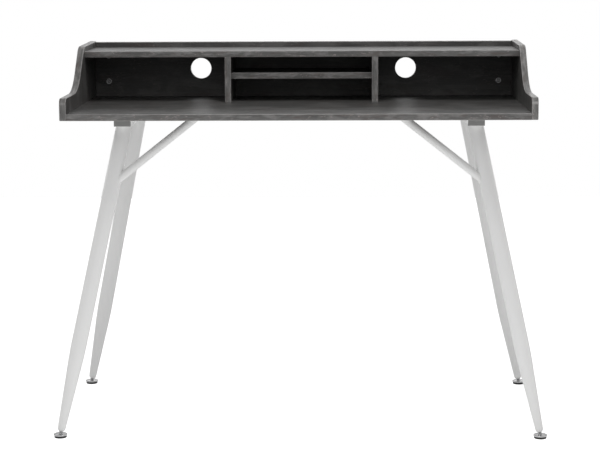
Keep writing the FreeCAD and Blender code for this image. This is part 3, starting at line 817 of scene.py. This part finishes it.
def chrome_finish(colour):
    """Bright plating: turned rings read from the piece's map, with finger smudges in the gloss."""
    finish, tree, shader = new_finish("bright_plating", Metallic=1.0)
    v, uv = coordinates(tree), coordinates(tree, "UV")
    smudge = cloud(tree, v, scale=(240.0, 240.0, 240.0), seed=(1.0, 4.0, 2.0), detail=4.0, rough=0.6)
    rings = cloud(tree, uv, scale=(0.0, 5200.0, 0.0), seed=(0.0, 0.7, 0.0))
    shown = ramp(tree, smudge, low=0.50, high=0.80, top=0.6)
    base = tint(tree, shown, rgba(colour), rgba(colour, factor=0.72))
    gloss = ramp(tree, smudge, low=0.35, high=0.75, bottom=0.07, top=0.20)
    cover(tree, shader, base, gloss, rings, depth=0.00001, strength=0.35)
    return finish


def zinc_finish(colour, name="zinc_plating"):
    """Zinc plating: spangle of brighter and duller patches and fine scratches."""
    finish, tree, shader = new_finish(name, Metallic=1.0)
    v = coordinates(tree)
    spangle = node(tree, "ShaderNodeTexVoronoi", {"Vector": v, "Scale": 420.0}).outputs[0]
    patch = ramp(tree, spangle, low=0.05, high=0.60, top=0.5)
    scratch = cloud(tree, v, scale=(300.0, 2600.0, 300.0), seed=(0.3, 0.6, 0.9))
    base = tint(tree, patch, rgba(colour), rgba(colour, factor=0.62))
    gloss = ramp(tree, scratch, low=0.3, high=0.7, bottom=0.28, top=0.46)
    cover(tree, shader, base, gloss, scratch, depth=0.00002, strength=0.5)
    return finish


def beech_finish(colour):
    """Bare turned wood: fine fibres along the dowel and short dark rays."""
    finish, tree, shader = new_finish("bare_beech")
    v = coordinates(tree)
    fibre = cloud(tree, v, scale=(260.0, 900.0, 900.0), seed=(0.2, 0.4, 0.6), detail=4.0, rough=0.6)
    rays = cloud(tree, v, scale=(420.0, 1900.0, 1900.0), seed=(1.2, 0.1, 0.3), detail=1.0)
    base = tint(tree, ramp(tree, fibre, low=0.35, high=0.70), rgba(colour), rgba(colour, factor=0.75))
    base = tint(tree, ramp(tree, rays, low=0.66, high=0.74), base, rgba(colour, factor=0.45))
    gloss = ramp(tree, fibre, low=0.3, high=0.7, bottom=0.55, top=0.75)
    cover(tree, shader, base, gloss, fibre, depth=0.00008, strength=0.6)
    return finish


def dress(names, finish):
    """Gives packed nodes a finish in all their material slots."""
    for name in names:
        slots = frame["nodes"][name].material_slots
        if not slots:
            raise RuntimeError(f"{name} has no material slot")
        for holder in slots:
            holder.material = finish


def shared(name, make, *values):
    """A finish that several operators use, made once."""
    return bpy.data.materials.get(name) or make(*values)


def white_paint(scene):
    """The white paint of the leg frame."""
    return shared("white_satin_paint", paint_finish, scene.desk_paint)


def zinc_plating(scene):
    """The zinc plating of stems, bolts, screws and bushes."""
    return shared("zinc_plating", zinc_finish, scene.desk_fasteners.zinc)


def placing(axes, place):
    """Matrix that turns an object's own axes to the columns of axes and moves its origin to place."""
    return Matrix(np.block([[axes, np.array(place)[:, None]], [np.zeros((1, 3)), 1.0]]).tolist())


# Operators

class DESK_OT_stage(bpy.types.Operator):
    """Set out the pale floor, the soft light and the camera"""
    bl_idname = "desk.stage"
    bl_label = "Set the stage"

    def execute(self, context):
        stage = context.scene.desk_stage
        self.lay_floor(stage)
        self.light_room(context, stage)
        self.hang_key(stage)
        self.hang_rear(stage)
        self.place_camera(context, stage)
        context.scene.view_settings.view_transform = "Standard"
        return {"FINISHED"}

    def lay_floor(self, stage):
        """A flat sheet of two by two quads, white to the camera. As a light it is brighter in front of the
        desk than under it. From below it is clear."""
        across, along, level = (-4.0, 0.0, 4.0), (-2.6, 0.7, 4.0), -0.0004
        glow_front, glow_back = -0.62, -0.08
        x, y = np.meshgrid(across, along)
        verts = np.stack([x, y, np.full_like(x, level)], -1).reshape(-1, 3)
        cols = len(across)
        i, j = np.meshgrid(np.arange(len(along) - 1), np.arange(cols - 1), indexing="ij")
        first = i * cols + j
        quads = np.stack([first, first + 1, first + cols + 1, first + cols], -1).reshape(-1, 4)
        mesh = bpy.data.meshes.new("floor")
        mesh.from_pydata(verts.tolist(), [], quads.tolist())
        finish, tree, shader = new_finish("pale_floor", Roughness=0.9, Specular_IOR_Level=0.0,
                                          Base_Color=rgba(stage.floor_tone), Emission_Color=WHITE)
        depth = parts(tree, coordinates(tree))[1]
        glow = ramp(tree, depth, low=glow_front, high=glow_back, bottom=stage.floor_near,
                    top=stage.floor_under)
        seen = node(tree, "ShaderNodeLightPath").outputs["Is Camera Ray"]
        tree.links.new(sums(tree, "MAXIMUM", glow, seen), shader.inputs["Emission Strength"])
        below = node(tree, "ShaderNodeNewGeometry").outputs["Backfacing"]
        blend(tree, below, shader, node(tree, "ShaderNodeBsdfTransparent"), "Material Output")
        mesh.materials.append(finish)
        floor = new_object("floor", mesh)

    def light_room(self, context, stage):
        """White where the camera sees it. As light it is dim in front at eye level and overhead, brighter
        between, and bright low behind. Heights are sines of the angle above the level."""
        world = bpy.data.worlds.new("studio")
        world.use_nodes = True
        context.scene.world = world
        tree = world.node_tree
        lit = tree.nodes["Background"]
        right, back, height = parts(tree, coordinates(tree, "Generated"))
        ahead = ramp(tree, height, low=0.05, high=0.38, bottom=stage.front_low, top=stage.front_high)
        backdrop = ramp(tree, height, low=0.12, high=0.26, bottom=stage.back_low, top=stage.back_high)
        beside = ramp(tree, sums(tree, "ABSOLUTE", right), low=0.55, high=0.95, top=stage.sides)
        glow = between(tree, ramp(tree, back, low=-0.05, high=0.50), ahead, backdrop)
        glow = sums(tree, "MAXIMUM", glow, beside)
        glow = between(tree, ramp(tree, height, low=0.50, high=0.90), glow, stage.overhead)
        tree.links.new(glow, lit.inputs["Strength"])
        lit.inputs["Color"].default_value = WHITE
        plain = node(tree, "ShaderNodeBackground", {"Color": WHITE, "Strength": 1.0})
        seen = node(tree, "ShaderNodeLightPath").outputs["Is Camera Ray"]
        blend(tree, seen, lit, plain, "World Output")

    def hang_key(self, stage):
        """One soft box high in front of the desk, facing its middle."""
        lamp = bpy.data.lights.new("soft_box", "AREA")
        lamp.size = stage.key_size
        lamp.energy = stage.key_power
        holder = new_object("soft_box", lamp)
        holder.visible_camera = False
        place, aim = np.array((0.15, -0.60, 2.24)), np.array((0.0, 0.0, 0.78))
        back = unit(place - aim)
        side = unit(np.cross((0.0, 1.0, 0.0), back))
        holder.matrix_world = placing(np.stack([side, np.cross(back, side), back], 1), place)

    def hang_rear(self, stage):
        """Soft distant light high behind the desk, which comes through the cable holes onto the worktop."""
        lamp = bpy.data.lights.new("rear_light", "SUN")
        lamp.energy, lamp.angle = stage.rear_light, stage.rear_soft
        holder = new_object("rear_light", lamp)
        holder.rotation_euler.x = stage.rear_height - 0.5 * math.pi

    def place_camera(self, context, stage):
        """Camera turned by its yaw, tilted by its pitch and rolled about its own line of sight."""
        turn_cos, turn_sin = math.cos(stage.yaw), math.sin(stage.yaw)
        tilt_cos, tilt_sin = math.cos(stage.pitch), math.sin(stage.pitch)
        roll_cos, roll_sin = math.cos(stage.roll), math.sin(stage.roll)
        ahead = np.array((turn_sin * tilt_cos, turn_cos * tilt_cos, -tilt_sin))
        right = np.array((turn_cos, -turn_sin, 0.0))
        up = np.cross(right, ahead)
        axes = np.stack([roll_cos * right + roll_sin * up, roll_cos * up - roll_sin * right, -ahead], 1)
        camera = bpy.data.cameras.new("photo_camera")
        camera.lens, camera.sensor_width, camera.sensor_fit = stage.lens, 36.0, "HORIZONTAL"
        camera.clip_start, camera.clip_end = 0.05, 60.0
        holder = new_object("photo_camera", camera)
        holder.matrix_world = placing(axes, stage.eye)
        context.scene.camera = holder


class DESK_OT_boards(bpy.types.Operator):
    """Print the laminate grain on the worktop, sides, back, shelves and dividers"""
    bl_idname = "desk.boards"
    bl_label = "Finish the boards"

    def execute(self, context):
        grain = context.scene.desk_laminate
        for axis, names in ((0, BOARDS_ALONG_X), (2, BOARDS_ALONG_Z)):
            finish, *_ = laminate("charcoal_grain_" + "xyz"[axis], grain, axis, grain.board_patch,
                                  grain.board_width, grain.roughness)
            dress(names, finish)
        return {"FINISHED"}


class DESK_OT_edging(bpy.types.Operator):
    """Wrap the edging strips over the front edges, the back panel's top and all round the side panels"""
    bl_idname = "desk.edging"
    bl_label = "Wrap the edging"

    def execute(self, context):
        edging, grain = context.scene.desk_edging, context.scene.desk_laminate
        # Along a side's outline: round the foot's corner, up to the arm's corner and on to the middle of the
        # painted highlight there.
        bend = (TOP_HIGH[2] + edging.arm_height - edging.arm_corner - SIDE_LOW[2]
                + (0.5 * math.pi - 1) * edging.small_corner + edging.corner_highlight_rise)
        plain = edging_finish("edging_print", grain, edging, grain.edge_lift, PRINT_START["side_left"] + bend,
                              edging.corner_highlight_left)
        # A lighter, lit copy of the edging paints light onto the shelves, dividers and right side panel.
        lighter = edging_finish("edging_print_light", grain, edging, grain.painted_light_lift,
                                PRINT_START["side_right"] + bend, edging.corner_highlight_right)
        half = BOARD / 2
        for board, low, high, finish in (("worktop", TOP_LOW, TOP_HIGH, plain),
                                         ("top_shelf", SHELF_LOW, SHELF_HIGH, lighter),
                                         ("middle_shelf", MIDDLE_LOW, MIDDLE_HIGH, lighter)):
            ends = [(x, low[1], low[2] + half) for x in (low[0], high[0])]
            self.lay(board + "_edging", straight_strip(*ends, FORWARD, UPWARD, edging), board, finish)
        ends = [(x, BACK_LOW[1] + half, BACK_HIGH[2]) for x in (BACK_LOW[0], BACK_HIGH[0])]
        self.lay("gallery_edging", straight_strip(*ends, UPWARD, -FORWARD, edging), "gallery", plain)
        for hand, sign, finish in (("left", -1, plain), ("right", 1, lighter)):
            x = sign * (DIVIDER_LOW[0] + half)
            ends = [(x, DIVIDER_LOW[1], z) for z in (DIVIDER_LOW[2], DIVIDER_HIGH[2])]
            divider = straight_strip(*ends, FORWARD, RIGHT, edging)
            self.lay("divider_edging_" + hand, divider, "divider_" + hand, lighter)
            self.lay("side_edging_" + hand, side_strip(sign, edging), "side_" + hand, finish)
        return {"FINISHED"}

    def lay(self, name, grid, board, finish):
        """One strip, with its print moved along to the board's own start."""
        points, uv, ring = grid
        piece(name, [(points, uv + (PRINT_START[board], 0.0), ring)], "desk", finish, crease=50.0)


class DESK_OT_rails(bpy.types.Operator):
    """Paint the rails and fixing plates and finish the grey end caps"""
    bl_idname = "desk.rails"
    bl_label = "Finish rails, plates and caps"

    def execute(self, context):
        dress(PAINTED, white_paint(context.scene))
        grey = moulded_finish("grey_moulding", context.scene.desk_paint.cap, scuffed=1.35, rough=0.52,
                              cell=0.0011)
        dress(["rail_cap_" + corner for corner in LEGS], grey)
        return {"FINISHED"}


class DESK_OT_legs(bpy.types.Operator):
    """Turn the four tapered legs"""
    bl_idname = "desk.legs"
    bl_label = "Make the legs"

    def execute(self, context):
        legs, paint = context.scene.desk_legs, white_paint(context.scene)
        for corner, (ball, up) in LEGS.items():
            tube = piece("leg_tube_" + corner, [leg_surface(ball, up, legs)], "desk", paint)
            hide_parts("leg_" + corner)
        return {"FINISHED"}


class DESK_OT_braces(bpy.types.Operator):
    """Run the braces from the front legs to their plates"""
    bl_idname = "desk.braces"
    bl_label = "Make the braces"

    def execute(self, context):
        legs, paint = context.scene.desk_legs, white_paint(context.scene)
        for hand in ("left", "right"):
            tube = piece("brace_tube_" + hand, [brace_surface(hand, legs)], "desk", paint)
            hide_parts("brace_" + hand)
        return {"FINISHED"}


class DESK_OT_welds(bpy.types.Operator):
    """Lay the painted weld beads at the rails, legs and plates"""
    bl_idname = "desk.welds"
    bl_label = "Lay the welds"

    def execute(self, context):
        legs, paint = context.scene.desk_legs, white_paint(context.scene)
        for corner, (ball, up) in LEGS.items():
            piece("rail_weld_" + corner, [leg_bead(ball, up, legs)], "desk", paint)
        for hand in ("left", "right"):
            piece("brace_weld_" + hand, brace_beads(hand, legs), "desk", paint)
        return {"FINISHED"}


class DESK_OT_feet(bpy.types.Operator):
    """Turn the pads, bright discs and threaded stems of the levelling feet"""
    bl_idname = "desk.feet"
    bl_label = "Make the feet"

    def execute(self, context):
        feet = context.scene.desk_feet
        chrome, zinc = chrome_finish(feet.chrome), zinc_plating(context.scene)
        black = moulded_finish("black_moulding", feet.pad, scuffed=2.2, rough=0.55, cell=0.0007)
        for corner, (ball, up) in LEGS.items():
            floor = ball * (1.0, 1.0, 0.0)
            pad = turned(pad_profile(feet), floor, UPWARD, turns=64)
            disc = turned(disc_profile(feet), floor, UPWARD, turns=96)
            stem = turned(stem_profile(feet), ball, up, turns=40, wobble=thread_cut(feet))
            for kind, surface, body, slot, finish in (("pad_", pad, "foot_", "black_pad", black),
                                                      ("disc_", disc, "foot_", "bright_chrome", chrome),
                                                      ("stem_", stem, "stem_", "zinc_steel", zinc)):
                made = piece(kind + corner, [surface], body + corner, finish)
                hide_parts("glide_" + kind + corner)
        return {"FINISHED"}


class DESK_OT_fasteners(bpy.types.Operator):
    """Plate the cams, bolts, screws and bushes, raise the rims of the back's cams and finish the dowels"""
    bl_idname = "desk.fasteners"
    bl_label = "Finish the fasteners"

    def execute(self, context):
        parts = context.scene.desk_fasteners
        dress(PLATED, zinc_plating(context.scene))
        dress(["cam_locks"], zinc_finish(parts.cast, "cast_zinc"))
        dress(["dowels"], beech_finish(parts.beech))
        bright = zinc_finish(parts.rim, "bright_zinc")
        sides = (("left", TOP_LOW[0] + parts.cam_inset), ("right", TOP_HIGH[0] - parts.cam_inset))
        levels = (("lower", TOP_HIGH[2] + parts.cam_low), ("upper", BACK_HIGH[2] - parts.cam_fall))
        for hand, x in sides:
            for level, z in levels:
                centre = np.array((x, BACK_LOW[1], z))
                ring = rim(centre, FORWARD, parts.rim_inner, parts.rim_outer, parts.rim_height)
                piece(f"cam_rim_{level}_{hand}", [ring], "desk", bright)
        return {"FINISHED"}


class DESK_PT_sidebar(bpy.types.Panel):
    """Desk pieces and their settings"""
    bl_idname = "DESK_PT_sidebar"
    bl_label = "Desk with hutch"
    bl_space_type = "VIEW_3D"
    bl_region_type = "UI"
    bl_category = "Desk"

    def draw(self, context):
        for operator in OPERATORS:
            self.layout.operator(operator.bl_idname)
        for key, group in SETTINGS.items():
            column = self.layout.column(heading=group.__doc__)
            for name in group.__annotations__:
                column.prop(getattr(context.scene, key), name)


SETTINGS = {
    "desk_laminate": DeskLaminateSettings, "desk_edging": DeskEdgingSettings, "desk_paint": DeskPaintSettings,
    "desk_legs": DeskLegSettings, "desk_feet": DeskFootSettings, "desk_fasteners": DeskFastenerSettings,
    "desk_stage": DeskStageSettings,
}
OPERATORS = (DESK_OT_stage, DESK_OT_boards, DESK_OT_edging, DESK_OT_rails, DESK_OT_legs, DESK_OT_braces,
             DESK_OT_welds, DESK_OT_feet, DESK_OT_fasteners)
CLASSES = (*SETTINGS.values(), *OPERATORS, DESK_PT_sidebar)


def register():
    for cls in CLASSES:
        bpy.utils.register_class(cls)
    for key, group in SETTINGS.items():
        setattr(bpy.types.Scene, key, PointerProperty(type=group))


def unregister():
    for key in SETTINGS:
        delattr(bpy.types.Scene, key)
    for cls in reversed(CLASSES):
        bpy.utils.unregister_class(cls)


def main():
    register()
    bpy.ops.desk.stage()
    bpy.ops.desk.boards()
    bpy.ops.desk.edging()
    bpy.ops.desk.rails()
    bpy.ops.desk.legs()
    bpy.ops.desk.braces()
    bpy.ops.desk.welds()
    bpy.ops.desk.feet()
    bpy.ops.desk.fasteners()


if __name__ == "__main__":
    main()
